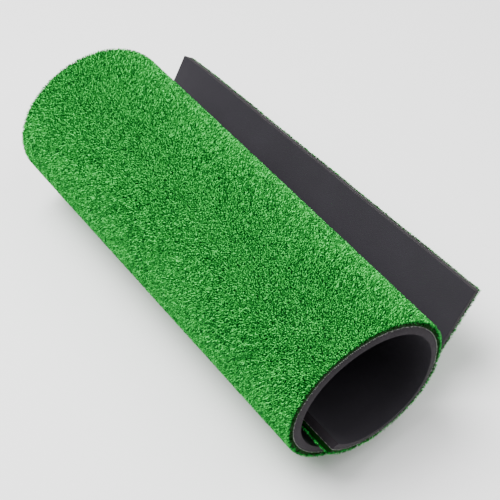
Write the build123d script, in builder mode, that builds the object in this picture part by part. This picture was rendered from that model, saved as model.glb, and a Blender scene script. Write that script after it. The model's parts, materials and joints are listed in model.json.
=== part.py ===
from build123d import *
from dataclasses import dataclass
from math import cos, radians, sin, tan
import os

# Golf hitting mat, rolled up turf side out.
#
# A 1000 x 600 mm practice mat in three bonded layers: a foam base, a woven backing cloth and a
# tufted pile. It is loosely rolled with its foam inside, into about one and a third turns, and lies
# on the flattened bottom of its outer turn. Its outer end stands up as an open flap.
#
# The roll bends all along its length. Here lines across the mat divide it into strips, each bent to
# one radius. Neighbouring strips are hinged on the backing's outer face, which neither stretches
# nor shrinks as the mat unrolls. A strip is three pieces, one of each layer.
#
# Frame: +Z up, the roll's axis along Y, its open near end towards -Y, the flap on the +X side.
# The origin is the middle of the whole object's box, on the floor. Units are mm and degrees.

# ---- driving dimensions -------------------------------------------------------------------------

MAT_LENGTH = 1000.0  # of a long edge, on the backing's outer face
MAT_WIDTH = 600.0
FOAM_THICKNESS = 10.0
BACKING_THICKNESS = 1.0
PILE_HEIGHT = 9.0

# The mat isn't rolled quite square to its long edges, so each turn starts further back.
SKEW_ANGLE = 2.6

# The long edges are cut on a slant, so the foam's free face is a little wider than the backing.
EDGE_SLANT = 12.0

# The section of the roll, from the inner end to the floor: (stretch, radius of the backing's outer
# face, angle that the stretch turns through, number of strips).
START_HEADING = -52.0
STRETCHES_TO_FLOOR = [
    ("inner_end", 108.0, 71.0, 3),
    ("right_low", 74.0, 49.0, 2),
    ("right_high", 95.0, 54.0, 2),
    ("crown", 110.0, 82.0, 3),
    ("left_high", 99.0, 83.0, 3),
    ("left_low", 148.0, 45.0, 2),
    ("heel", 56.0, 28.0, 1),
]
FLOOR_RUN = 62.0  # the flat stretch that the roll rests on
RISE_RADIUS = 97.0
RISE_ANGLE = 53.0
RISE_STRIPS = 2

# Each side of a strip stands back from the hinge line. The pile's sides are also square to the
# middle of the strip, so the piles of two strips leave a groove, which closes as the mat flattens.
STRIP_CLEARANCE = 0.05
PILE_CLEARANCE = 0.2

TRIM = 40.0  # pieces are made this much too long, and are then cut along the mat's edges

# Each layer lies between two offsets from the backing's outer face.
LAYERS = {
    "foam": (-BACKING_THICKNESS - FOAM_THICKNESS, -BACKING_THICKNESS),
    "backing": (-BACKING_THICKNESS, 0.0),
    "pile": (0.0, PILE_HEIGHT),
}


# ---- the rolled section, in the XZ plane --------------------------------------------------------


def along(heading):
    """Direction of travel at a heading: 0 is along X and 90 is up."""
    return Vector(cos(radians(heading)), sin(radians(heading)))


def outward(heading):
    """Direction out of the roll, towards the pile, at a heading."""
    return Vector(sin(radians(heading)), -cos(radians(heading)))


def in_space(vector, y=0.0):
    """A point or a direction of the section as one in space."""
    return Vector(vector.X, y, vector.Y)


@dataclass
class Strip:
    """One strip of the mat: an arc of the section, or a straight run if its angle is 0."""

    name: str
    start: Vector  # on the backing's outer face
    heading: float  # at the start
    angle: float  # turn to the left along the strip
    length: float  # along the backing's outer face
    distance: float  # along the backing from the inner end's near corner to the start

    def heading_at(self, share):
        return self.heading + self.angle * share

    def point_at(self, share, offset=0.0):
        """Point at a share of the length, and this far outward of the backing's outer face."""
        facing = outward(self.heading_at(share))
        if self.angle == 0:
            return self.start + along(self.heading) * self.length * share + facing * offset
        radius = self.length / radians(self.angle)
        centre = self.start - outward(self.heading) * radius
        return centre + facing * (radius + offset)


def roll_strips():
    """All the strips, from the inner end to the flap. The inner end's backing starts at (0, 0)."""
    runs = [(name, radius * radians(turn), turn, n) for name, radius, turn, n in STRETCHES_TO_FLOOR]
    runs.append(("floor", FLOOR_RUN, 0.0, 1))
    runs.append(("rise", RISE_RADIUS * radians(RISE_ANGLE), RISE_ANGLE, RISE_STRIPS))
    rolled = sum(length for _, length, _, _ in runs)
    runs.append(("flap", MAT_LENGTH * cos(radians(SKEW_ANGLE)) - rolled, 0.0, 1))

    strips = []
    point, heading, distance = Vector(0, 0), START_HEADING, 0.0
    for stretch, length, angle, count in runs:
        for number in range(1, count + 1):
            name = stretch if count == 1 else f"{stretch}_{number}"
            strips.append(Strip(name, point, heading, angle / count, length / count, distance))
            point = strips[-1].point_at(1)
            heading += strips[-1].angle
            distance += strips[-1].length
    return strips


# ---- one layer of one strip ---------------------------------------------------------------------


def layer_face(strip, offset, first, last):
    """Start, middle and end of a layer's face whose sides are square to the arc."""
    return [strip.point_at(share, offset) for share in (first, (first + last) / 2, last)]


def pile_face(strip, offset, first):
    """Start, middle and end of a face of the pile, whose sides are square to the strip's middle."""
    middle_heading = strip.heading_at(0.5)
    middle = strip.point_at(0.5, offset)
    half_width = (strip.point_at(1) - strip.point_at(0)).length / 2 - PILE_CLEARANCE
    drop = 0.0
    if strip.angle:
        radius = strip.length / radians(strip.angle) + offset
        drop = radius - (radius**2 - half_width**2) ** 0.5
    side = along(middle_heading) * half_width
    back = outward(middle_heading) * drop
    start = strip.point_at(first, offset) if first < 0 else middle - side - back
    return [start, middle, middle + side - back]


def across(strip, share):
    """Direction along the mat's short edges, and along its long edges, at a share of a strip."""
    travel = in_space(along(strip.heading_at(share)))
    axis = Vector(0, 1, 0)
    skew = radians(SKEW_ANGLE)
    return axis * cos(skew) - travel * sin(skew), travel * cos(skew) + axis * sin(skew)


def near_corner(strip, share):
    """Point of the mat's near long edge, on the backing's outer face, at a share of a strip."""
    distance = strip.distance + strip.length * share
    return in_space(strip.point_at(share), distance * tan(radians(SKEW_ANGLE)))


def long_edge_planes(strip):
    """Planes of the mat's two long edges across a strip. Their normals point to the far side."""
    facing = in_space(outward(strip.heading_at(0.5)))
    sideways, lengthways = across(strip, 0.5)
    slant = radians(EDGE_SLANT)
    near = Plane(near_corner(strip, 0.5), lengthways, sideways * cos(slant) - facing * sin(slant))
    far_corner = near_corner(strip, 0.5) + sideways * MAT_WIDTH
    far = Plane(far_corner, lengthways, sideways * cos(slant) + facing * sin(slant))
    return near, far


def short_edge_plane(strip, share):
    """Plane of the mat's short edge at one end of a strip. Its normal points to the outer end."""
    sideways, lengthways = across(strip, share)
    return Plane(near_corner(strip, share), sideways, lengthways)


def strip_layer(strip, layer, is_inner_end, is_outer_end):
    """The solid of one layer of one strip, cut along the mat's edges."""
    near_edge, far_edge = long_edge_planes(strip)
    clear = STRIP_CLEARANCE / strip.length
    # the inner end's short edge slants back past the strip's start, so its piece starts early
    first = -TRIM / strip.length if is_inner_end else clear
    section_plane = Plane.XZ.offset(TRIM - near_edge.origin.Y)
    with BuildPart() as piece:
        with BuildSketch(section_plane):
            with BuildLine():
                faces = []
                for offset in LAYERS[layer]:
                    if layer == "pile":
                        faces.append(pile_face(strip, offset, first))
                    else:
                        faces.append(layer_face(strip, offset, first, 1 - clear))
                inner, outer = faces
                if strip.angle == 0:
                    Line(inner[0], inner[2])
                    Line(outer[0], outer[2])
                else:
                    ThreePointArc(*inner)
                    ThreePointArc(*outer)
                Line(inner[0], outer[0])
                Line(inner[2], outer[2])
            make_face()
        extrude(amount=-(MAT_WIDTH + 2 * TRIM))
        split(bisect_by=near_edge, keep=Keep.TOP)
        split(bisect_by=far_edge, keep=Keep.BOTTOM)
        if is_inner_end:
            split(bisect_by=short_edge_plane(strip, 0), keep=Keep.TOP)
        if is_outer_end:
            split(bisect_by=short_edge_plane(strip, 1), keep=Keep.BOTTOM)
    return piece.part


# ---- the whole mat ------------------------------------------------------------------------------

strips = roll_strips()
pieces = {}
for strip in strips:
    for layer in LAYERS:
        pieces[f"{layer}_{strip.name}"] = strip_layer(
            strip, layer, is_inner_end=strip is strips[0], is_outer_end=strip is strips[-1]
        )

box = Compound(list(pieces.values())).bounding_box()
origin = Vector(box.center().X, box.center().Y, box.min.Z)
to_origin = Location(-origin)

os.makedirs("parts", exist_ok=True)
for name, part in pieces.items():
    placed = part.moved(to_origin)
    placed.label = name
    export_step(placed, f"parts/{name}.step")

size = box.size
print(f"{len(strips)} strips and {len(pieces)} pieces, {size.X:.1f} x {size.Y:.1f} x {size.Z:.1f} mm")
print(f"the origin is at {origin.X:.4f}, {origin.Y:.4f}, {origin.Z:.4f} from the inner end's corner")
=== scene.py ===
"""Golf hitting mat, rolled up turf side out and lying on its side with its outer end open.

The mat is three bonded layers: a foam base, a woven backing and a tufted pile. Each layer is made
flat, as a row of spans from the middle of one CAD strip to the middle of the next, and is then
rolled up on the same section as the CAD part. Each span crosses one hinge.
"""

import json
import logging
from dataclasses import dataclass, field
from enum import Enum
from math import cos, dist, pi, radians, sin, tan

import bpy
import numpy as np
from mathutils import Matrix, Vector


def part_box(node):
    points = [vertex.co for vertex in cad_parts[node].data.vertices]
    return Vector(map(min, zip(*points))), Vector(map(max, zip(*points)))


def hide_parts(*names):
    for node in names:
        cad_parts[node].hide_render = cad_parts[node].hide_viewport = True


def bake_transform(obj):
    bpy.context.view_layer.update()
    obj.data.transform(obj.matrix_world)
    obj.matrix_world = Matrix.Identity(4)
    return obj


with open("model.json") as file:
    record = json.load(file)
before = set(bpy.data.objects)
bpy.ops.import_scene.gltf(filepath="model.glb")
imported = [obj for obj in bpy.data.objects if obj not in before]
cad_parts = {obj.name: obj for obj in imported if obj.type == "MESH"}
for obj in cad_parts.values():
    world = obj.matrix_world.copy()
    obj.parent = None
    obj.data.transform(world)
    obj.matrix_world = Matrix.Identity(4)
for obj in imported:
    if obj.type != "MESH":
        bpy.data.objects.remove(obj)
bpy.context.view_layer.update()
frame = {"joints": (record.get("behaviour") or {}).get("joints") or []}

log = logging.getLogger("golf_mat")

Point = tuple[float, float]
Colour = tuple[float, float, float, float]


class Layer(Enum):
    """The mat's layers, named as the CAD part's nodes start."""

    FOAM = "foam"
    BACKING = "backing"
    PILE = "pile"


@dataclass(frozen=True)
class MatSizes:
    """Sizes of the unrolled mat, in metres and degrees."""

    length: float = 1.0
    width: float = 0.6
    foam: float = 0.010
    backing: float = 0.001
    pile: float = 0.009
    skew: float = 2.6
    edge_slant: float = 12.0

    def corner(self, along: float, across: float) -> Point:
        """Gives a point of the mat by its distance round the roll and along the roll's axis.

        Args:
            along: Distance from the inner short edge, along the mat.
            across: Distance from the near long edge, across the mat.

        Returns:
            The distance round the roll and the distance along its axis.
        """
        turn = radians(self.skew)
        return along * cos(turn) - across * sin(turn), along * sin(turn) + across * cos(turn)


@dataclass(frozen=True)
class Stretch:
    """A part of the rolled section with one radius; its turn is 0 where it runs straight."""

    name: str
    length: float
    turn: float
    strips: int = 1

    @classmethod
    def arc(cls, name: str, radius: float, turn: float, strips: int = 1) -> "Stretch":
        """Makes a stretch from the radius of the backing's outer face and its turn in degrees."""
        return cls(name, radius * radians(turn), turn, strips)


@dataclass(frozen=True)
class Strip:
    """One CAD strip of the section."""

    name: str
    start: Point
    heading: float
    turn: float
    length: float
    distance: float


@dataclass
class RolledSection:
    """The curve that the backing's outer face follows, and the roll built on it.

    Distances are measured round the roll from the inner end's near corner. Offsets are outward
    from the backing's outer face, towards the tips of the pile.
    """

    sizes: MatSizes = field(default_factory=MatSizes)
    start_heading: float = -52.0
    stretches: tuple[Stretch, ...] = (
        Stretch.arc("inner_end", 0.108, 71.0, 3),
        Stretch.arc("right_low", 0.074, 49.0, 2),
        Stretch.arc("right_high", 0.095, 54.0, 2),
        Stretch.arc("crown", 0.110, 82.0, 3),
        Stretch.arc("left_high", 0.099, 83.0, 3),
        Stretch.arc("left_low", 0.148, 45.0, 2),
        Stretch.arc("heel", 0.056, 28.0),
        Stretch("floor", 0.062, 0.0),
        Stretch.arc("rise", 0.097, 53.0, 2),
    )
    strips: list[Strip] = field(init=False)
    shift: np.ndarray = field(init=False)

    def __post_init__(self) -> None:
        """Chains the strips and finds where the CAD part lies."""
        rest = self.sizes.length * cos(radians(self.sizes.skew))
        rest -= sum(stretch.length for stretch in self.stretches)
        self.strips = []
        self.shift = np.zeros(3)
        point, heading, distance = (0.0, 0.0), self.start_heading, 0.0
        for stretch in (*self.stretches, Stretch("flap", rest, 0.0)):
            for number in range(1, stretch.strips + 1):
                name = stretch.name if stretch.strips == 1 else f"{stretch.name}_{number}"
                turn, length = stretch.turn / stretch.strips, stretch.length / stretch.strips
                self.strips.append(Strip(name, point, heading, turn, length, distance))
                distance += length
                heading += turn
                end = self.place(np.array([distance - 1e-12]), np.zeros(1), np.zeros(1))[0]
                point = (float(end[0]), float(end[2]))
        self.shift = self._find_shift()

    def _find_shift(self) -> np.ndarray:
        """Finds the move from the inner end's corner to the CAD part's frame.

        Returns:
            The move along each axis.
        """
        floor = next(strip for strip in self.strips if strip.name == "floor")
        hinge = next(joint for joint in frame["joints"] if joint["child"] == "heel")["pos_m"]
        low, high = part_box("backing_floor")
        skew = radians(self.sizes.skew)
        middle = (floor.distance + floor.length / 2) * tan(skew)
        middle += self.sizes.width / cos(skew) / 2
        return np.array(
            [
                hinge[0] - floor.start[0],
                (low[1] + high[1]) / 2 - middle,
                hinge[2] - floor.start[1],
            ]
        )

    def place(self, distance: np.ndarray, axial: np.ndarray, offset: np.ndarray) -> np.ndarray:
        """Rolls points of the flat mat up.

        Args:
            distance: Distances round the roll.
            axial: Distances along the roll's axis.
            offset: Distances outward from the backing's outer face.

        Returns:
            The points in the CAD part's frame, one a row.
        """
        starts = np.array([strip.distance for strip in self.strips])
        which = np.clip(np.searchsorted(starts, distance, side="right") - 1, 0, len(starts) - 1)
        origin = np.array([strip.start for strip in self.strips])[which]
        heading = np.radians([strip.heading for strip in self.strips])[which]
        length = np.array([strip.length for strip in self.strips])[which]
        bend = np.radians([strip.turn for strip in self.strips])[which] / length
        run = distance - starts[which]
        there = heading + bend * run
        curved = np.abs(bend) > 1e-9
        safe = np.where(curved, bend, 1.0)
        x = np.where(curved, (np.sin(there) - np.sin(heading)) / safe, np.cos(heading) * run)
        z = np.where(curved, (np.cos(heading) - np.cos(there)) / safe, np.sin(heading) * run)
        return (
            np.stack(
                [
                    origin[:, 0] + x + np.sin(there) * offset,
                    axial,
                    origin[:, 1] + z - np.cos(there) * offset,
                ],
                axis=1,
            )
            + self.shift
        )


@dataclass(frozen=True)
class Span:
    """A piece of the mat between the middles of two neighbouring strips, in the flat."""

    number: int
    first: Strip
    second: Strip
    near_start: Point
    near_end: Point
    far_start: Point
    far_end: Point
    is_inner_end: bool
    is_outer_end: bool

    @property
    def length(self) -> float:
        """Length along the near edge."""
        return dist(self.near_start, self.near_end)

    @property
    def far_length(self) -> float:
        """Length along the far edge, which the skew makes differ at the mat's two short edges."""
        return dist(self.far_start, self.far_end)

    def flat(self, lengthways: np.ndarray, across: np.ndarray) -> tuple[np.ndarray, np.ndarray]:
        """Maps shares of the span, 0 to 1 along the mat and across it, to the flat mat.

        Args:
            lengthways: Shares from the start to the end of the span.
            across: Shares from the near edge to the far edge.

        Returns:
            Distances round the roll, and distances along its axis.
        """
        corners = np.array([self.near_start, self.near_end, self.far_start, self.far_end])
        near = corners[0] + lengthways[:, None] * (corners[1] - corners[0])
        far = corners[2] + lengthways[:, None] * (corners[3] - corners[2])
        points = near + across[:, None] * (far - near)
        return points[:, 0], points[:, 1]


def spans_of(section: RolledSection) -> list[Span]:
    """Divides the mat at the middles of its strips.

    Args:
        section: The rolled section.

    Returns:
        One span for each hinge; the first and last reach the mat's short edges.
    """
    sizes, strips = section.sizes, section.strips
    skew = radians(sizes.skew)
    step = sizes.width / cos(skew)
    spans = []
    for number, (first, second) in enumerate(zip(strips, strips[1:])):
        inner, outer = number == 0, number == len(strips) - 2
        start = first.distance + first.length / 2
        end = second.distance + second.length / 2
        near_start = sizes.corner(0.0, 0.0) if inner else (start, start * tan(skew))
        far_start = sizes.corner(0.0, sizes.width) if inner else (start, start * tan(skew) + step)
        near_end = sizes.corner(sizes.length, 0.0) if outer else (end, end * tan(skew))
        far_end = (
            sizes.corner(sizes.length, sizes.width) if outer else (end, end * tan(skew) + step)
        )
        spans.append(
            Span(number, first, second, near_start, near_end, far_start, far_end, inner, outer)
        )
    return spans


# ---- finishes ----


@dataclass
class NodeBuilder:
    """Adds and joins shader nodes in one node tree."""

    tree: bpy.types.NodeTree

    def add(self, kind: str, **settings: object) -> bpy.types.Node:
        """Adds a node.

        Args:
            kind: The node's type.
            settings: Properties of the node, or values of its inputs where it has no such property.

        Returns:
            The node.
        """
        node = self.tree.nodes.new(kind)
        for name, value in settings.items():
            if hasattr(node, name):
                setattr(node, name, value)
            else:
                node.inputs[name.replace("_", " ")].default_value = value
        return node

    def join(self, source: bpy.types.NodeSocket, target: bpy.types.NodeSocket) -> None:
        """Links one socket to another."""
        self.tree.links.new(source, target)

    def sum_of(
        self, kind: str, first: object, second: object, clamp: bool = False
    ) -> bpy.types.NodeSocket:
        """Joins a math node of two numbers or sockets.

        Args:
            kind: The operation.
            first: A number or a socket.
            second: A number or a socket.
            clamp: Whether the result is kept from 0 to 1.

        Returns:
            The result's socket.
        """
        node = self.add("ShaderNodeMath", operation=kind, use_clamp=clamp)
        for place, value in enumerate((first, second)):
            if isinstance(value, (int, float)):
                node.inputs[place].default_value = value
            else:
                self.join(value, node.inputs[place])
        return node.outputs[0]

    def blend(
        self, share: bpy.types.NodeSocket, low: object, high: object
    ) -> bpy.types.NodeSocket:
        """Mixes two colours by a share.

        Args:
            share: The socket of the share of the second colour.
            low: A colour or a socket.
            high: A colour or a socket.

        Returns:
            The mixed colour's socket.
        """
        node = self.add("ShaderNodeMix", data_type="RGBA")
        self.join(share, node.inputs[0])
        for place, value in ((6, low), (7, high)):
            if isinstance(value, tuple):
                node.inputs[place].default_value = value
            else:
                self.join(value, node.inputs[place])
        return node.outputs[2]

    def speckle(
        self, place: bpy.types.NodeSocket, mottle_scale: float, grain_scale: float
    ) -> tuple[bpy.types.NodeSocket, bpy.types.NodeSocket]:
        """Adds the mottle and grain that all the finishes use.

        Args:
            place: The coordinates that it follows.
            mottle_scale: Scale of the soft mottle.
            grain_scale: Scale of the finer grain.

        Returns:
            The sockets of the mottle and of the grain.
        """
        scales = {"Mottle_Scale": mottle_scale, "Grain_Scale": grain_scale}
        node = self.add("ShaderNodeGroup", node_tree=speckle_group(), **scales)
        self.join(place, node.inputs["Vector"])
        return node.outputs["Mottle"], node.outputs["Grain"]


def speckle_group() -> bpy.types.NodeTree:
    """Builds the effect that all the finishes use: a soft mottle with a finer grain over it.

    Returns:
        A node group with a Mottle and a Grain output, both about 0 to 1.
    """
    found = bpy.data.node_groups.get("mottle_and_grain")
    if found:
        return found
    tree = bpy.data.node_groups.new("mottle_and_grain", "ShaderNodeTree")
    tree.interface.new_socket("Vector", in_out="INPUT", socket_type="NodeSocketVector")
    for name, value in (("Mottle Scale", 12.0), ("Grain Scale", 900.0)):
        socket = tree.interface.new_socket(name, in_out="INPUT", socket_type="NodeSocketFloat")
        socket.default_value = value
    for name in ("Mottle", "Grain"):
        tree.interface.new_socket(name, in_out="OUTPUT", socket_type="NodeSocketFloat")
    nodes = NodeBuilder(tree)
    ins, outs = nodes.add("NodeGroupInput"), nodes.add("NodeGroupOutput")
    for scale, detail, name in (("Mottle Scale", 3.0, "Mottle"), ("Grain Scale", 2.0, "Grain")):
        noise = nodes.add("ShaderNodeTexNoise", Detail=detail, Roughness=0.6)
        nodes.join(ins.outputs["Vector"], noise.inputs["Vector"])
        nodes.join(ins.outputs[scale], noise.inputs["Scale"])
        spread = nodes.add("ShaderNodeMapRange", From_Min=0.3, From_Max=0.7)
        nodes.join(noise.outputs["Fac"], spread.inputs["Value"])
        nodes.join(spread.outputs[0], outs.inputs[name])
    return tree


def new_material(name: str) -> tuple[bpy.types.Material, NodeBuilder, bpy.types.Node]:
    """Makes a material with one Principled shader.

    Args:
        name: The material's name.

    Returns:
        The material, its node builder and the shader.
    """
    material = bpy.data.materials.new(name)
    material.use_nodes = True
    nodes = NodeBuilder(material.node_tree)
    shader = next(n for n in material.node_tree.nodes if n.type == "BSDF_PRINCIPLED")
    return material, nodes, shader


@dataclass(frozen=True)
class FoamFinish:
    """Closed-cell rubber foam: matt, slightly purple dark grey, with a fine skin grain."""

    name: str = "foam_skin"
    dark: Colour = (0.0122, 0.0108, 0.0143, 1.0)
    light: Colour = (0.0208, 0.0186, 0.0239, 1.0)
    mottle_scale: float = 9.0
    cell_scale: float = 750.0
    cell_depth: float = 0.0002
    roughness: float = 0.78

    def material(self) -> bpy.types.Material:
        """Builds the material from the object's own coordinates.

        Returns:
            The material.
        """
        material, nodes, shader = new_material(self.name)
        place = nodes.add("ShaderNodeTexCoord").outputs["Object"]
        mottle, grain = nodes.speckle(place, self.mottle_scale, self.cell_scale * 1.4)
        cells = nodes.add("ShaderNodeTexVoronoi", Scale=self.cell_scale)
        nodes.join(place, cells.inputs["Vector"])
        tone = nodes.sum_of("MULTIPLY", mottle, 0.45)
        tone = nodes.sum_of("ADD", tone, nodes.sum_of("MULTIPLY", grain, 0.35))
        pits = nodes.sum_of("MULTIPLY", cells.outputs["Distance"], 0.4)
        tone = nodes.sum_of("ADD", tone, pits, clamp=True)
        nodes.join(nodes.blend(tone, self.dark, self.light), shader.inputs["Base Color"])
        rough = nodes.sum_of("MULTIPLY", grain, 0.14)
        rough = nodes.sum_of("ADD", rough, self.roughness - 0.07)
        nodes.join(rough, shader.inputs["Roughness"])
        height = nodes.sum_of("ADD", cells.outputs["Distance"], grain)
        bump = nodes.add("ShaderNodeBump", Strength=0.5, Distance=self.cell_depth)
        nodes.join(height, bump.inputs["Height"])
        nodes.join(bump.outputs["Normal"], shader.inputs["Normal"])
        shader.inputs["Specular IOR Level"].default_value = 0.22
        return material


@dataclass(frozen=True)
class WovenFinish:
    """Plain-woven backing cloth with a thin latex coat; its near-black default colours are painted
    shade of the gap between the foam and the pile's roots.
    """

    name: str = "backing_weave"
    # Near-black default thread: painted shade of the gap between the foam and the pile's roots.
    thread: Colour = (0.045, 0.045, 0.042, 1.0)
    gap: Colour = (0.004, 0.005, 0.004, 1.0)
    pitch: float = 0.0016

    def material(self) -> bpy.types.Material:
        """Builds the material from the cloth's flat coordinates in metres.

        Returns:
            The material.
        """
        material, nodes, shader = new_material(self.name)
        flat = nodes.add("ShaderNodeTexCoord").outputs["UV"]
        parts = nodes.add("ShaderNodeSeparateXYZ")
        nodes.join(flat, parts.inputs[0])
        ribs = []
        for axis in (0, 1):
            phase = nodes.sum_of("MULTIPLY", parts.outputs[axis], 2 * pi / self.pitch)
            wave = nodes.sum_of("SINE", phase, 0.0)
            ribs.append(nodes.sum_of("MULTIPLY", nodes.sum_of("ADD", wave, 1.0), 0.5))
        weave = nodes.sum_of("MAXIMUM", ribs[0], ribs[1])
        mottle, grain = nodes.speckle(flat, mottle_scale=40.0, grain_scale=1600.0)
        grain = nodes.sum_of("MULTIPLY", grain, 0.3)
        tone = nodes.sum_of("MULTIPLY", weave, nodes.sum_of("ADD", grain, 0.75), clamp=True)
        nodes.join(nodes.blend(tone, self.gap, self.thread), shader.inputs["Base Color"])
        bump = nodes.add("ShaderNodeBump", Strength=0.6, Distance=0.0003)
        nodes.join(weave, bump.inputs["Height"])
        nodes.join(bump.outputs["Normal"], shader.inputs["Normal"])
        rough = nodes.sum_of("ADD", nodes.sum_of("MULTIPLY", mottle, 0.15), 0.7)
        nodes.join(rough, shader.inputs["Roughness"])
        return material


@dataclass(frozen=True)
class TurfFinish:
    """Curly nylon yarn: light green at the tips, each yarn its own, with near-black green painted
    shade at the roots.
    """

    name: str = "turf_yarn"
    # Painted shade: the near-black green that the pile takes at its roots, where the yarns shade
    # each other.
    painted_root_shade: Colour = (0.0, 0.022, 0.0, 1.0)
    body: Colour = (0.0, 0.016, 0.0, 1.0)
    tip: Colour = (0.070, 0.850, 0.130, 1.0)
    roughness: float = 0.7

    def material(self) -> bpy.types.Material:
        """Builds the material from the yarns' height and tint attributes.

        Returns:
            The material.
        """
        material, nodes, shader = new_material(self.name)
        height = nodes.add("ShaderNodeAttribute", attribute_name="height").outputs["Fac"]
        tint = nodes.add("ShaderNodeAttribute", attribute_name="tint").outputs["Fac"]
        place = nodes.add("ShaderNodeTexCoord").outputs["Object"]
        mottle, grain = nodes.speckle(place, mottle_scale=14.0, grain_scale=700.0)
        # From 0.4 to 0.8 of the pile's height the painted root shade fades into the yarn's own
        # colour.
        smooth = {"interpolation_type": "SMOOTHSTEP", "From_Min": 0.4, "From_Max": 0.8}
        rise = nodes.add("ShaderNodeMapRange", **smooth)
        nodes.join(height, rise.inputs["Value"])
        mottle = nodes.sum_of("MULTIPLY", mottle, 0.08)
        grain = nodes.sum_of("MULTIPLY", grain, 0.12)
        tone = nodes.sum_of("ADD", nodes.sum_of("MULTIPLY", tint, 0.85), mottle)
        tone = nodes.sum_of("ADD", tone, nodes.sum_of("SUBTRACT", grain, 0.03), clamp=True)
        yarn = nodes.blend(tone, self.body, self.tip)
        nodes.join(nodes.blend(rise.outputs[0], self.painted_root_shade, yarn), shader.inputs["Base Color"])
        rough = nodes.sum_of("ADD", nodes.sum_of("MULTIPLY", tint, 0.2), self.roughness - 0.1)
        nodes.join(rough, shader.inputs["Roughness"])
        shader.inputs["Specular IOR Level"].default_value = 0.04
        return material


@dataclass(frozen=True)
class PlainFinish:
    """A plain matt surface, for the floor of the studio."""

    name: str
    colour: Colour

    def material(self) -> bpy.types.Material:
        """Builds the material.

        Returns:
            The material.
        """
        material, nodes, shader = new_material(self.name)
        noise = nodes.add("ShaderNodeTexNoise", Scale=3.0)
        nodes.join(nodes.add("ShaderNodeTexCoord").outputs["Object"], noise.inputs["Vector"])
        dimmer = tuple(value * 0.985 for value in self.colour[:3]) + (1.0,)
        colour = nodes.blend(noise.outputs["Fac"], dimmer, self.colour)
        nodes.join(colour, shader.inputs["Base Color"])
        shader.inputs["Roughness"].default_value = 0.9
        return material


# ---- modelling helpers ----


def vertices_of(mesh: bpy.types.Mesh) -> np.ndarray:
    """Reads a mesh's vertices, one a row."""
    flat = np.empty(len(mesh.vertices) * 3)
    mesh.vertices.foreach_get("co", flat)
    return flat.reshape(-1, 3)


def set_vertices(mesh: bpy.types.Mesh, points: np.ndarray) -> None:
    """Writes a mesh's vertices."""
    mesh.vertices.foreach_set("co", points.astype(np.float32).ravel())
    mesh.update()


def select_only(*pieces: bpy.types.Object) -> None:
    """Selects the given pieces and nothing else, and makes the first of them active.

    Args:
        pieces: The pieces; with none, everything is deselected.
    """
    bpy.ops.object.select_all(action="DESELECT")
    for piece in pieces:
        piece.select_set(True)
    if pieces:
        bpy.context.view_layer.objects.active = pieces[0]


def edit_edges(piece: bpy.types.Object, chosen: np.ndarray) -> None:
    """Opens a piece in edit mode with only the chosen edges selected.

    Args:
        piece: The piece.
        chosen: For each of its edges, whether it is chosen.
    """
    select_only(piece)
    bpy.ops.object.mode_set(mode="EDIT")
    bpy.ops.mesh.select_all(action="DESELECT")
    bpy.ops.object.mode_set(mode="OBJECT")
    piece.data.edges.foreach_set("select", chosen)
    bpy.ops.object.mode_set(mode="EDIT")
    bpy.ops.mesh.select_mode(type="EDGE")


def lift_out(piece: bpy.types.Object) -> tuple[np.ndarray, list[list[int]]]:
    """Takes a modelled shape out of the scene, to be copied many times.

    Args:
        piece: The modelled shape, which is removed.

    Returns:
        Its vertices, one a row, and its faces.
    """
    mesh = piece.data
    points = vertices_of(mesh)
    faces = [list(face.vertices) for face in mesh.polygons]
    bpy.data.objects.remove(piece)
    bpy.data.meshes.remove(mesh)
    return points, faces


def add_object(name: str, data: bpy.types.ID) -> bpy.types.Object:
    """Adds a mesh, light or camera to the scene.

    Args:
        name: The new object's name.
        data: Its data.

    Returns:
        The object.
    """
    added = bpy.data.objects.new(name, data)
    bpy.context.collection.objects.link(added)
    return added


def apply_modifier(piece: bpy.types.Object, kind: str, **settings: object) -> None:
    """Adds a modifier to a piece and applies it.

    Args:
        piece: The piece.
        kind: The modifier's type.
        settings: The modifier's settings.
    """
    select_only(piece)
    modifier = piece.modifiers.new(kind.lower(), kind)
    for name, value in settings.items():
        setattr(modifier, name, value)
    bpy.ops.object.modifier_apply(modifier=modifier.name)


def flat_grid(name: str, lengthways: int, across: int) -> bpy.types.Object:
    """Adds a flat grid from 0 to 1 each way, to be laid out as a span.

    Args:
        name: The new piece's name.
        lengthways: Number of cells along the mat.
        across: Number of cells across it.

    Returns:
        The grid.
    """
    select_only()
    bpy.ops.mesh.primitive_grid_add(
        x_subdivisions=lengthways, y_subdivisions=across, size=1, location=(0.5, 0.5, 0)
    )
    bpy.ops.object.transform_apply(location=True)
    grid = bpy.context.object
    grid.name = name
    grid.data.name = name
    return grid


def number_attribute(mesh: bpy.types.Mesh, name: str, values: np.ndarray) -> None:
    """Gives each vertex a number that a material reads."""
    attribute = mesh.attributes.new(name, "FLOAT", "POINT")
    attribute.data.foreach_set("value", values.astype(np.float32))


def joined_mesh(name: str, points: np.ndarray, faces: list[np.ndarray]) -> bpy.types.Mesh:
    """Makes a mesh of many copies at once.

    Args:
        name: The mesh's name.
        points: The vertices, one a row.
        faces: Arrays of faces; each array's faces have the same number of corners.

    Returns:
        The mesh, smooth-shaded.
    """
    mesh = bpy.data.meshes.new(name)
    corners = np.concatenate([f.ravel() for f in faces])
    sizes = np.concatenate([np.full(len(f), f.shape[1]) for f in faces])
    mesh.vertices.add(len(points))
    mesh.vertices.foreach_set("co", points.astype(np.float32).ravel())
    mesh.loops.add(len(corners))
    mesh.loops.foreach_set("vertex_index", corners.astype(np.int32))
    mesh.polygons.add(len(sizes))
    mesh.polygons.foreach_set(
        "loop_start", np.concatenate([[0], np.cumsum(sizes)[:-1]]).astype(np.int32)
    )
    mesh.polygons.foreach_set("use_smooth", np.ones(len(sizes), dtype=bool))
    mesh.update(calc_edges=True)
    mesh.validate()
    return mesh


# ---- the mat's layers ----


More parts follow.
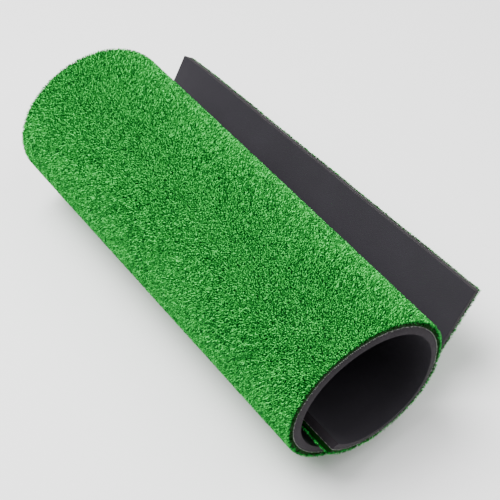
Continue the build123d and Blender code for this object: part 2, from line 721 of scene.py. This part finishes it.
@dataclass
class RippledSheet:
    """Gives the whole mat the slight unevenness of a soft sheet that has been rolled."""

    section: RolledSection
    wave: float = 0.0006
    long_wave: Point = (31.0, 4.0)
    short_wave: Point = (67.0, -9.0)
    short_phase: float = 1.3
    short_share: float = 0.6
    free_from: float = 0.84
    free_over: float = 0.1
    corner_curl: float = 0.004
    curl_reach: float = 0.07

    def roll(self, distance: np.ndarray, axial: np.ndarray, offset: np.ndarray) -> np.ndarray:
        """Rolls points up, with the unevenness added.

        Args:
            distance: Distances round the roll.
            axial: Distances along the roll's axis.
            offset: Distances outward from the backing's outer face.

        Returns:
            The points in the CAD part's frame.
        """
        sizes = self.section.sizes
        far_corner = sizes.corner(sizes.length, sizes.width)
        away = np.hypot(distance - far_corner[0], axial - far_corner[1])
        curl = self.corner_curl * np.clip(1 - away / self.curl_reach, 0, 1) ** 2
        wave = self.wave * np.sin(axial * self.long_wave[0] + distance * self.long_wave[1])
        phase = axial * self.short_wave[0] + distance * self.short_wave[1] + self.short_phase
        wave += self.wave * self.short_share * np.sin(phase)
        free = np.clip((distance - self.free_from) / self.free_over, 0, 1)
        return self.section.place(distance, axial, offset + wave * free - curl)


@dataclass
class MatLayer:
    """What the layers share: a slab of one span, made flat and rolled up.

    A point counts as on a long edge within edge_share of the width, and as beside it within
    beside_share. At bend_shares of a span's two strips, fit_to_frame finds points on the section
    that nothing uses.
    """

    sheet: RippledSheet
    spans: list[Span]
    layer: Layer
    bottom: float
    top: float
    cell: float
    cells_across: int
    edge_share: float = 0.001
    beside_share: float = 0.02
    bend_shares: Point = (0.58, 0.42)

    @property
    def slant(self) -> float:
        """How far the long edges lean, per unit of offset."""
        return tan(radians(self.sheet.section.sizes.edge_slant))

    def slab(self, span: Span, edge_round: float) -> bpy.types.Object:
        """Models one span of the layer flat, with its long edges on their slant.

        Args:
            span: The span.
            edge_round: Radius that the long edges' corners are rounded to.

        Returns:
            The slab, still flat, with its place in the flat mat in its vertices.
        """
        lengthways = max(4, round(span.length / self.cell))
        name = f"{self.layer.value}_span_{span.number + 1:02d}"
        slab = flat_grid(name, lengthways, self.cells_across)
        shares = vertices_of(slab.data)
        distance, axial = span.flat(shares[:, 0], shares[:, 1])
        set_vertices(slab.data, np.stack([distance, axial, np.full(len(axial), self.bottom)], 1))
        apply_modifier(slab, "SOLIDIFY", thickness=self.top - self.bottom, offset=1.0)
        self._lean_edges(slab, span)
        if edge_round:
            self._round_edges(slab, span, edge_round)
        return slab

    def _side(self, span: Span, points: np.ndarray) -> np.ndarray:
        """Says how far across the span points are.

        Args:
            span: The span.
            points: Points of the flat mat, one a row.

        Returns:
            Shares from 0 at the near edge to 1 at the far one.
        """
        near = np.array(span.near_start)
        run = np.array(span.near_end) - near
        share = (points[:, 0] - near[0]) / run[0]
        near_y = near[1] + share * run[1]
        far = np.array(span.far_start)
        far_run = np.array(span.far_end) - far
        far_y = far[1] + (points[:, 0] - far[0]) / far_run[0] * far_run[1]
        return (points[:, 1] - near_y) / (far_y - near_y)

    def _lean_edges(self, slab: bpy.types.Object, span: Span) -> None:
        """Moves the long edges out towards the foam's free face.

        Args:
            slab: The flat slab.
            span: Its span.
        """
        points = vertices_of(slab.data)
        side = self._side(span, points)
        lean = -points[:, 2] * self.slant
        points[:, 1] += np.where(side > 1 - self.edge_share, lean, 0)
        points[:, 1] -= np.where(side < self.edge_share, lean, 0)
        set_vertices(slab.data, points)

    def _round_edges(self, slab: bpy.types.Object, span: Span, radius: float) -> None:
        """Rounds the corners of the long edges.

        Args:
            slab: The flat slab.
            span: Its span.
            radius: The radius of the rounding.
        """
        mesh = slab.data
        points = vertices_of(mesh)
        side = self._side(span, points)
        edge_points = (side < self.beside_share) | (side > 1 - self.beside_share)
        level = np.abs(points[:, 2] - self.bottom) < 1e-7
        chosen = np.zeros(len(mesh.edges), dtype=bool)
        for edge in mesh.edges:
            a, b = edge.vertices
            if level[a] == level[b] and edge_points[a] and edge_points[b]:
                same_side = (side[a] < 0.5) == (side[b] < 0.5)
                chosen[edge.index] = same_side and abs(points[a, 0] - points[b, 0]) > 1e-5
        edit_edges(slab, chosen)
        bpy.ops.mesh.bevel(offset=radius, segments=2, affect="EDGES")
        bpy.ops.object.mode_set(mode="OBJECT")

    def roll_up(self, slab: bpy.types.Object) -> None:
        """Writes the flat place into the UV map, in metres, and rolls the slab up.

        Args:
            slab: The flat slab.
        """
        mesh = slab.data
        points = vertices_of(mesh)
        corners = np.empty(len(mesh.loops), dtype=np.int32)
        mesh.loops.foreach_get("vertex_index", corners)
        layer = mesh.uv_layers[0] if mesh.uv_layers else mesh.uv_layers.new(name="flat")
        layer.data.foreach_set("uv", points[corners, :2].astype(np.float32).ravel())
        set_vertices(mesh, self.sheet.roll(points[:, 0], points[:, 1], points[:, 2]))

    def fit_to_frame(self, piece: bpy.types.Object, span: Span) -> None:
        """Bakes a finished piece's placing into its mesh and hides the CAD part's nodes that it
        stands for.

        Args:
            piece: The finished piece.
            span: Its span.
        """
        section = self.sheet.section
        ends = []
        for strip, share in zip((span.first, span.second), self.bend_shares):
            distance = np.array([strip.distance + strip.length * share])
            ends.append(section.place(distance, np.zeros(1), np.zeros(1))[0])
            ends[-1][1] = 0.0
        nodes = [f"{self.layer.value}_{span.first.name}"]
        if span.is_outer_end:
            nodes.append(f"{self.layer.value}_{span.second.name}")
        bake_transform(piece)
        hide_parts(*nodes)


@dataclass
class FoamBase(MatLayer):
    """The foam base, whose free face is the inside of the roll and the face of the flap."""

    skin: FoamFinish = field(default_factory=FoamFinish)
    cut: FoamFinish = field(
        default_factory=lambda: FoamFinish(
            name="foam_cut",
            dark=(0.012, 0.010, 0.013, 1.0),
            light=(0.026, 0.021, 0.026, 1.0),
            mottle_scale=60.0,
            cell_scale=1100.0,
            cell_depth=0.0005,
            roughness=0.88,
        )
    )
    edge_round: float = 0.0009
    cut_slope: float = 0.6

    def build(self) -> list[bpy.types.Object]:
        """Models, dresses and places the foam.

        Returns:
            The foam's pieces, in order.
        """
        skin, cut = self.skin.material(), self.cut.material()
        pieces = []
        for span in self.spans:
            slab = self.slab(span, self.edge_round)
            mesh = slab.data
            mesh.materials.append(skin)
            mesh.materials.append(cut)
            normals = np.empty(len(mesh.polygons) * 3)
            mesh.polygons.foreach_get("normal", normals)
            steep = np.abs(normals.reshape(-1, 3)[:, 2]) < self.cut_slope
            mesh.polygons.foreach_set("material_index", steep.astype(np.int32))
            self.roll_up(slab)
            select_only(slab)
            bpy.ops.object.shade_smooth_by_angle(angle=radians(35))
            self.fit_to_frame(slab, span)
            pieces.append(slab)
            log.info("foam piece %s", slab.name)
        return pieces


@dataclass
class WovenBacking(MatLayer):
    """The woven backing, seen only at the cut edges, where its yarn ends show."""

    # The cloth's finish is near black: painted shade in the gap between foam and pile.
    finish: WovenFinish = field(default_factory=WovenFinish)
    end_finish: WovenFinish = field(
        default_factory=lambda: WovenFinish(
            name="backing_yarn_ends",
            thread=(0.26, 0.28, 0.25, 1.0),
            gap=(0.006, 0.008, 0.006, 1.0),
            pitch=0.0083,
        )
    )
    yarn_pitch: float = 0.0026
    yarn_thickness: float = 0.0010
    yarn_reach: float = 0.0010
    yarn_root: float = 0.0002
    thickness_range: Point = (0.6, 1.3)
    reach_range: Point = (0.2, 1.8)
    seed: int = 11

    def build(self) -> list[bpy.types.Object]:
        """Models, dresses and places the backing.

        Returns:
            The backing's pieces, in order.
        """
        material, end_material = self.finish.material(), self.end_finish.material()
        chance = np.random.default_rng(self.seed)
        pieces = []
        for span in self.spans:
            slab = self.slab(span, edge_round=0.0)
            slab.data.materials.append(material)
            self._add_yarn_ends(slab, span, chance, end_material)
            self.roll_up(slab)
            self.fit_to_frame(slab, span)
            pieces.append(slab)
            log.info("backing piece %s", slab.name)
        return pieces

    def _yarn_end(self) -> tuple[np.ndarray, list[list[int]]]:
        """Models one cut yarn end: a short square peg along +Y, a little fuller in its middle.

        Returns:
            Its vertices, for a thickness and a reach of 1, and its faces.
        """
        select_only()
        bpy.ops.mesh.primitive_cube_add(size=1, location=(0, 0.5, 0))
        bpy.ops.object.mode_set(mode="EDIT")
        bpy.ops.mesh.select_all(action="SELECT")
        bpy.ops.mesh.bevel(offset=0.2, segments=1, affect="EDGES")
        bpy.ops.object.mode_set(mode="OBJECT")
        bpy.ops.object.transform_apply(location=True)
        peg = bpy.context.object
        apply_modifier(peg, "TRIANGULATE")
        return lift_out(peg)

    def _add_yarn_ends(
        self,
        slab: bpy.types.Object,
        span: Span,
        chance: np.random.Generator,
        material: bpy.types.Material,
    ) -> None:
        """Copies the yarn end along the span's cut edges and joins the copies to its cloth.

        Args:
            slab: The span's cloth, still flat.
            span: The span.
            chance: The source of random numbers.
            material: The yarn ends' material.
        """
        model, faces = self._yarn_end()
        count = int(span.length / self.yarn_pitch)
        edges = [(np.array(span.near_start), np.array(span.near_end), count, -1.0)]
        edges.append((np.array(span.far_start), np.array(span.far_end), count, 1.0))
        if span.is_inner_end or span.is_outer_end:
            first = span.near_start if span.is_inner_end else span.near_end
            last = span.far_start if span.is_inner_end else span.far_end
            across = int(self.sheet.section.sizes.width / self.yarn_pitch)
            sign = 1.0 if span.is_inner_end else -1.0
            edges.append((np.array(first), np.array(last), across, sign))
        all_points, all_faces, total = [], [], 0
        for start, end, number, sign in edges:
            run = (end - start) / np.linalg.norm(end - start)
            out = np.array([-run[1], run[0]]) * sign
            for place in range(number):
                middle = start + (end - start) * (place + 0.5 + chance.uniform(-0.2, 0.2)) / number
                thick = self.yarn_thickness * chance.uniform(*self.thickness_range)
                reach = self.yarn_reach * chance.uniform(*self.reach_range)
                flat = middle + np.outer(model[:, 0] * thick, run)
                flat = flat + np.outer(model[:, 1] * reach - self.yarn_root, out)
                level = self.bottom + (self.top - self.bottom) * 0.5 + model[:, 2] * thick
                all_points.append(np.column_stack([flat, level]))
                all_faces.append(np.array(faces) + total)
                total += len(model)
        mesh = joined_mesh("yarn_ends", np.concatenate(all_points), [np.concatenate(all_faces)])
        mesh.uv_layers.new(name=slab.data.uv_layers[0].name)
        mesh.materials.append(material)
        select_only(slab, add_object("yarn_ends", mesh))
        bpy.ops.object.join()

    def declare(self, foam: list[bpy.types.Object], pile: list[bpy.types.Object]) -> None:
        """Does nothing: no size of cloth, foam or pile is given for any piece.

        Args:
            foam: The foam's pieces, in order; not used.
            pile: The pile's pieces, in order; not used.
        """


@dataclass
class TuftedPile(MatLayer):
    """The turf: a dense bed of yarn with curly yarn ends standing out of it."""

    finish: TurfFinish = field(default_factory=TurfFinish)
    tuft_gap: float = 0.0017
    yarns_per_tuft: int = 2
    yarn_width: float = 0.0010
    lean: float = 0.0014
    start_level: float = 0.0046
    edge_gap: float = 0.0009
    edge_depth: float = 0.0025
    edge_start: float = 0.0003
    edge_lean: float = 0.7
    knees: tuple[float, ...] = (0.66, 0.74, 0.82)
    lowest: float = 0.8
    lowest_at_side: float = 0.2
    tallest: float = 1.06
    side_shade: Point = (0.5, 1.0)
    light_tint: Point = (0.85, 1.0)
    dark_tint: Point = (0.0, 0.1)
    swapped: float = 0.25
    bed_unevenness: Point = (-0.0012, 0.0006)
    bed_inset: float = 0.0012
    # bed_height scales the bed's height share down, so the bed takes more of the painted root
    # shade.
    bed_height: float = 0.72
    bed_tint: Point = (0.0, 0.35)
    seed: int = 7

    def build(self) -> list[bpy.types.Object]:
        """Models, dresses and places the pile.

        Returns:
            The pile's pieces, in order.
        """
        material = self.finish.material()
        chance = np.random.default_rng(self.seed)
        models = [self._yarn(knee) for knee in self.knees]
        pieces = []
        for span in self.spans:
            bed = self._bed(span, chance)
            yarns = self._yarns(span, models, chance)
            bed.data.materials.append(material)
            yarns.data.materials.append(material)
            select_only(bed, yarns)
            bpy.ops.object.join()
            self.roll_up(bed)
            self.fit_to_frame(bed, span)
            pieces.append(bed)
            log.info("pile piece %s with %d faces", bed.name, len(bed.data.polygons))
        return pieces

    def _bed(self, span: Span, chance: np.random.Generator) -> bpy.types.Object:
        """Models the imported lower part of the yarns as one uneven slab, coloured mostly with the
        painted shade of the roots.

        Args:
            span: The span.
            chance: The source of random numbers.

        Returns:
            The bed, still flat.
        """
        bed = self.slab(span, edge_round=0.0)
        points = vertices_of(bed.data)
        upper = points[:, 2] > self.bottom + 1e-5
        side = self._side(span, points)
        points[:, 2] += np.where(upper, chance.uniform(*self.bed_unevenness, len(points)), 0)
        inward = (side > 1 - self.edge_share).astype(float) - (side < self.edge_share)
        points[:, 1] -= inward * self.bed_inset * upper
        set_vertices(bed.data, points)
        # The height share is cut by bed_height, so the bed stays mostly in the painted root shade.
        share = np.clip(points[:, 2] / self.sheet.section.sizes.pile, 0, 1)
        number_attribute(bed.data, "height", share * self.bed_height)
        number_attribute(bed.data, "tint", chance.uniform(*self.bed_tint, len(points)))
        select_only(bed)
        bpy.ops.object.shade_smooth()
        return bed

    def _yarn(self, knee: float) -> tuple[np.ndarray, list[list[int]]]:
        """Models one yarn end as a ribbon that folds over along +Y into a tapered tip.

        Args:
            knee: Height at which it folds over, as a share of its own height.

        Returns:
            Its vertices, for a height, width and lean of 1, and its faces.
        """
        select_only()
        bpy.ops.mesh.primitive_plane_add(size=1, rotation=(pi / 2, 0, 0), location=(0, 0, 0.5))
        ribbon = bpy.context.object
        bpy.ops.object.transform_apply(location=True, rotation=True)
        points = vertices_of(ribbon.data)
        points[:, 2] *= knee
        set_vertices(ribbon.data, points)
        self._fold_tip(ribbon)
        return lift_out(ribbon)

    def _fold_tip(self, ribbon: bpy.types.Object) -> None:
        """Extrudes the ribbon's top edge up and over, and draws it together to a point.

        Args:
            ribbon: The ribbon, which is changed.
        """
        points = vertices_of(ribbon.data)
        knee = points[:, 2].max()
        top = points[:, 2] > knee - 1e-6
        edit_edges(ribbon, np.array([all(top[list(e.vertices)]) for e in ribbon.data.edges]))
        rise = (0, 1.0, 1.0 - knee)
        bpy.ops.mesh.extrude_region_move(TRANSFORM_OT_translate={"value": rise})
        bpy.ops.mesh.merge(type="CENTER")
        bpy.ops.object.mode_set(mode="OBJECT")

    def _roots(self, span: Span, chance: np.random.Generator) -> tuple[np.ndarray, np.ndarray]:
        """Scatters the tufts over the span, with more of them along its cut edges.

        Args:
            span: The span.
            chance: The source of random numbers.

        Returns:
            The flat places of the yarns' roots, and for each the way and share by which it leans
            out over a cut edge, as a vector.
        """
        width = self.sheet.section.sizes.width
        rows, columns = round(span.length / self.tuft_gap), round(width / self.tuft_gap)
        count = rows * columns
        row, column = np.repeat(np.arange(rows), columns), np.tile(np.arange(columns), rows)
        shares = [
            (row + chance.uniform(0.05, 0.95, count)) / rows,
            (column + chance.uniform(0.05, 0.95, count)) / columns,
        ]
        shares = [np.repeat(share, self.yarns_per_tuft) for share in shares]
        lean = np.zeros((len(shares[0]), 2))
        extra = []
        count = int(span.length / self.edge_gap) * 2
        for side, way in ((0.0, -1.0), (1.0, 1.0)):
            inset = chance.uniform(0.0, self.edge_depth, count) / width
            across = side + inset if side == 0.0 else side - inset
            out = np.column_stack([np.zeros(count), np.full(count, way)])
            extra.append((chance.uniform(0, 1, count), across, out))
        if span.is_inner_end or span.is_outer_end:
            count = int(width / self.edge_gap) * 2
            inset = chance.uniform(0.0, self.edge_depth, count) / span.length
            along = inset if span.is_inner_end else 1 - inset
            way = -1.0 if span.is_inner_end else 1.0
            out = np.column_stack([np.full(count, way), np.zeros(count)])
            extra.append((along, chance.uniform(0, 1, count), out))
        lengthways = np.concatenate([shares[0]] + [e[0] for e in extra])
        across = np.concatenate([shares[1]] + [e[1] for e in extra])
        lean = np.concatenate([lean] + [e[2] for e in extra])
        distance, axial = span.flat(lengthways, across)
        return np.column_stack([distance, axial]), lean

    def _yarns(
        self,
        span: Span,
        models: list[tuple[np.ndarray, list[list[int]]]],
        chance: np.random.Generator,
    ) -> bpy.types.Object:
        """Copies the modelled yarns on to the span, each turned, sized and tinted on its own.

        Args:
            span: The span.
            models: The modelled yarns' vertices and faces.
            chance: The source of random numbers.

        Returns:
            The yarns as one object, still flat.
        """
        roots, outward = self._roots(span, chance)
        count = len(roots)
        which = chance.integers(0, len(models), count)
        turn = chance.uniform(0, 2 * pi, count)
        at_edge = np.abs(outward).sum(axis=1) > 0
        edge_turn = np.arctan2(outward[:, 1], outward[:, 0]) - pi / 2
        turn = np.where(at_edge, edge_turn + chance.normal(0, 0.6, count), turn)
        pile = self.sheet.section.sizes.pile
        at_side = outward[:, 1] != 0
        lowest = np.where(at_side, self.lowest_at_side, self.lowest)
        top = (pile * (lowest + (self.tallest - lowest) * chance.uniform(0, 1, count)))[:, None]
        width = self.yarn_width * chance.uniform(0.7, 1.3, count)
        reach = self.lean * chance.uniform(0.4, 1.5, count) * np.where(at_edge, self.edge_lean, 1.0)
        start = np.where(at_edge, self.edge_start, self.start_level)[:, None]
        tuft = np.arange(count) // self.yarns_per_tuft
        even = np.arange(count) % 2 == 0
        swap = chance.uniform(0, 1, tuft[-1] + 1)[tuft] < self.swapped
        light = chance.uniform(*self.light_tint, count)
        dark = chance.uniform(*self.dark_tint, count)
        tint = np.where(even != swap, light, dark)
        shape = np.stack([points for points, _ in models])[which]
        x = shape[:, :, 0] * width[:, None]
        y = shape[:, :, 1] * reach[:, None]
        z = start + shape[:, :, 2] * (top - start)
        c, s = np.cos(turn)[:, None], np.sin(turn)[:, None]
        points = np.stack([roots[:, :1] + c * x - s * y, roots[:, 1:] + s * x + c * y, z], axis=2)
        per_yarn = shape.shape[1]
        base = (np.arange(count) * per_yarn)[:, None]
        faces = []
        for corners in (4, 3):
            same = np.array([face for face in models[0][1] if len(face) == corners])
            if len(same):
                faces.append((base[:, :, None] + same[None]).reshape(-1, corners))
        mesh = joined_mesh("yarns", points.reshape(-1, 3), faces)
        side_share = shape[:, :, 2] * chance.uniform(*self.side_shade, count)[:, None]
        share = np.where(at_side[:, None], side_share, z / pile)
        number_attribute(mesh, "height", share.reshape(-1))
        number_attribute(mesh, "tint", np.repeat(tint, per_yarn))
        mesh.uv_layers.new(name="UVMap")
        return add_object("yarns", mesh)


# ---- the studio ----


@dataclass(frozen=True)
class Studio:
    """A pale floor, soft lights and the camera."""

    camera_place: tuple[float, float, float] = (-0.6855, -0.9181, 1.3944)
    camera_heading: float = 37.01
    camera_dip: float = 49.11
    lens: float = 92.6

    def build(self) -> None:
        """Adds the floor, the lights and the camera."""
        self._floor()
        self._camera()
        self._light("key", (-0.75, 0.65, 2.6), 1.7, 190.0)
        self._light("fill", (0.9, -1.2, 2.6), 2.0, 44.0)
        world = bpy.data.worlds.new("studio")
        bpy.context.scene.world = world
        world.use_nodes = True
        background = world.node_tree.nodes["Background"]
        background.inputs["Color"].default_value = (1.0, 1.0, 1.0, 1.0)
        background.inputs["Strength"].default_value = 0.55
        log.info("studio with its floor, lights and camera")

    def _floor(self) -> None:
        """Adds the floor."""
        select_only()
        bpy.ops.mesh.primitive_plane_add(size=14, location=(0, 0, -0.0005))
        floor = bpy.context.object
        floor.name = "floor_of_studio"
        floor.data.materials.append(PlainFinish("pale_floor", (0.97, 0.97, 0.97, 1.0)).material())

    def _camera(self) -> None:
        """Adds the camera and makes it the scene's."""
        data = bpy.data.cameras.new("camera")
        data.lens = self.lens
        data.sensor_width = 36.0
        camera = add_object("camera", data)
        camera.location = self.camera_place
        camera.rotation_euler = (radians(90 - self.camera_dip), 0.0, radians(-self.camera_heading))
        bpy.context.scene.camera = camera

    def _light(
        self, name: str, place: tuple[float, float, float], size: float, power: float
    ) -> None:
        """Adds a square soft light that faces the mat.

        Args:
            name: The light's name.
            place: Where it stands.
            size: Its side in metres.
            power: Its power in watts.
        """
        data = bpy.data.lights.new(name, "AREA")
        data.size = size
        data.energy = power
        light = add_object(name, data)
        light.location = place
        aim = Vector((0, 0, 0.1)) - Vector(place)
        light.rotation_euler = aim.to_track_quat("-Z", "Y").to_euler()


def main() -> None:
    """Builds the mat's layers in order, then the studio around it."""
    logging.basicConfig(level=logging.INFO)
    section = RolledSection()
    sizes = section.sizes
    sheet = RippledSheet(section)
    spans = spans_of(section)
    under = -sizes.backing
    foam = FoamBase(
        sheet, spans, Layer.FOAM, bottom=under - sizes.foam, top=under, cell=0.0025, cells_across=24
    ).build()
    backing = WovenBacking(
        sheet, spans, Layer.BACKING, bottom=under, top=0.0, cell=0.004, cells_across=24
    )
    backing.build()
    pile = TuftedPile(
        sheet, spans, Layer.PILE, bottom=0.0, top=0.0060, cell=0.005, cells_across=120
    ).build()
    backing.declare(foam, pile)
    Studio().build()


if __name__ == "__main__":
    main()
